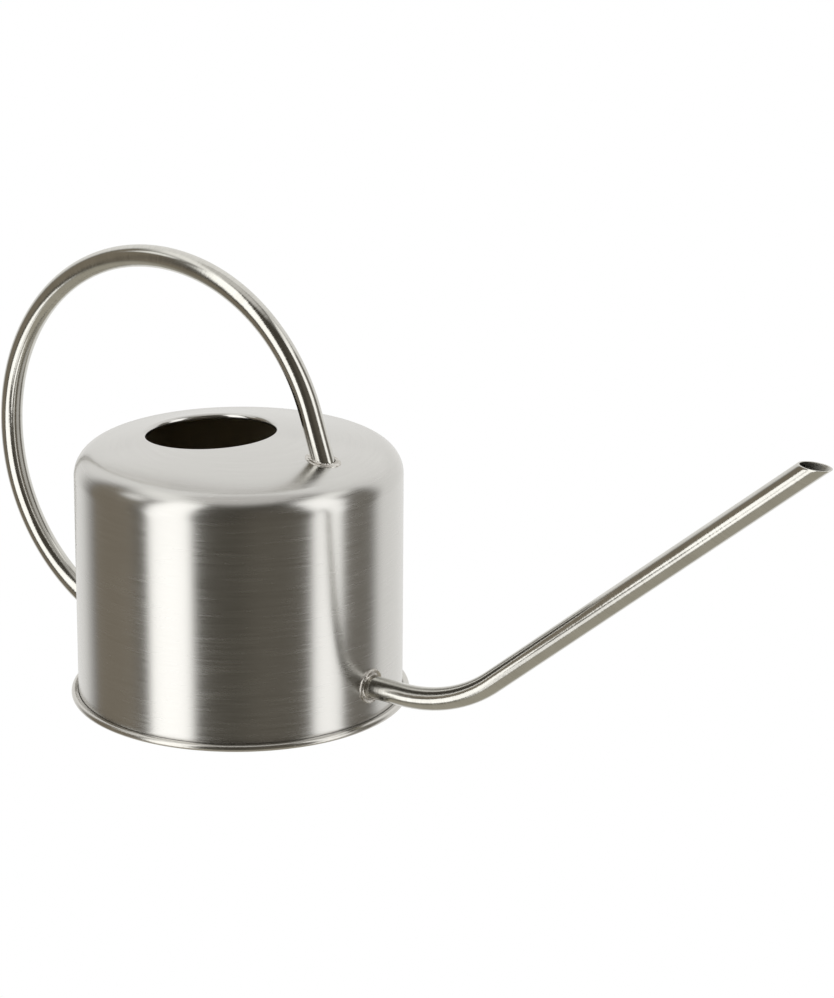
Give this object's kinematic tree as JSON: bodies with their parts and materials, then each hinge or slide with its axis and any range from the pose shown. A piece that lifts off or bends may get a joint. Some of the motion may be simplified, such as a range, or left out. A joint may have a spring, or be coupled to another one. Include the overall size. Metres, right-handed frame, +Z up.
{
  "type": "watering can",
  "caption": "Stainless steel watering can: round drawn tank with an open filler hole in its domed top, rolled-on base, long bent tube spout and a round tube handle.",
  "frame": {"origin": "on the floor, under the middle of the can's overall box; the tank's axis stands 76.1 mm behind it", "axes": "+X towards the spout's mouth, +Y to the can's left, +Z up"},
  "size_m": [0.4194, 0.146, 0.1911],
  "materials": {
    "brushed_steel": "fine brushed round the tank",
    "tube_steel": "satin, brushed along the tube",
    "weld_steel": "cleaned weld metal",
    "seam_seal": "matt"
  },
  "bodies": {
    "root": {"body_shell": "brushed_steel", "base_plate": "brushed_steel", "seam_sealant": "seam_seal", "spout_tube": "tube_steel", "spout_weld": "weld_steel", "handle_tube": "tube_steel", "handle_front_weld": "weld_steel", "handle_rear_weld": "weld_steel"}
  },
  "joints": []
}
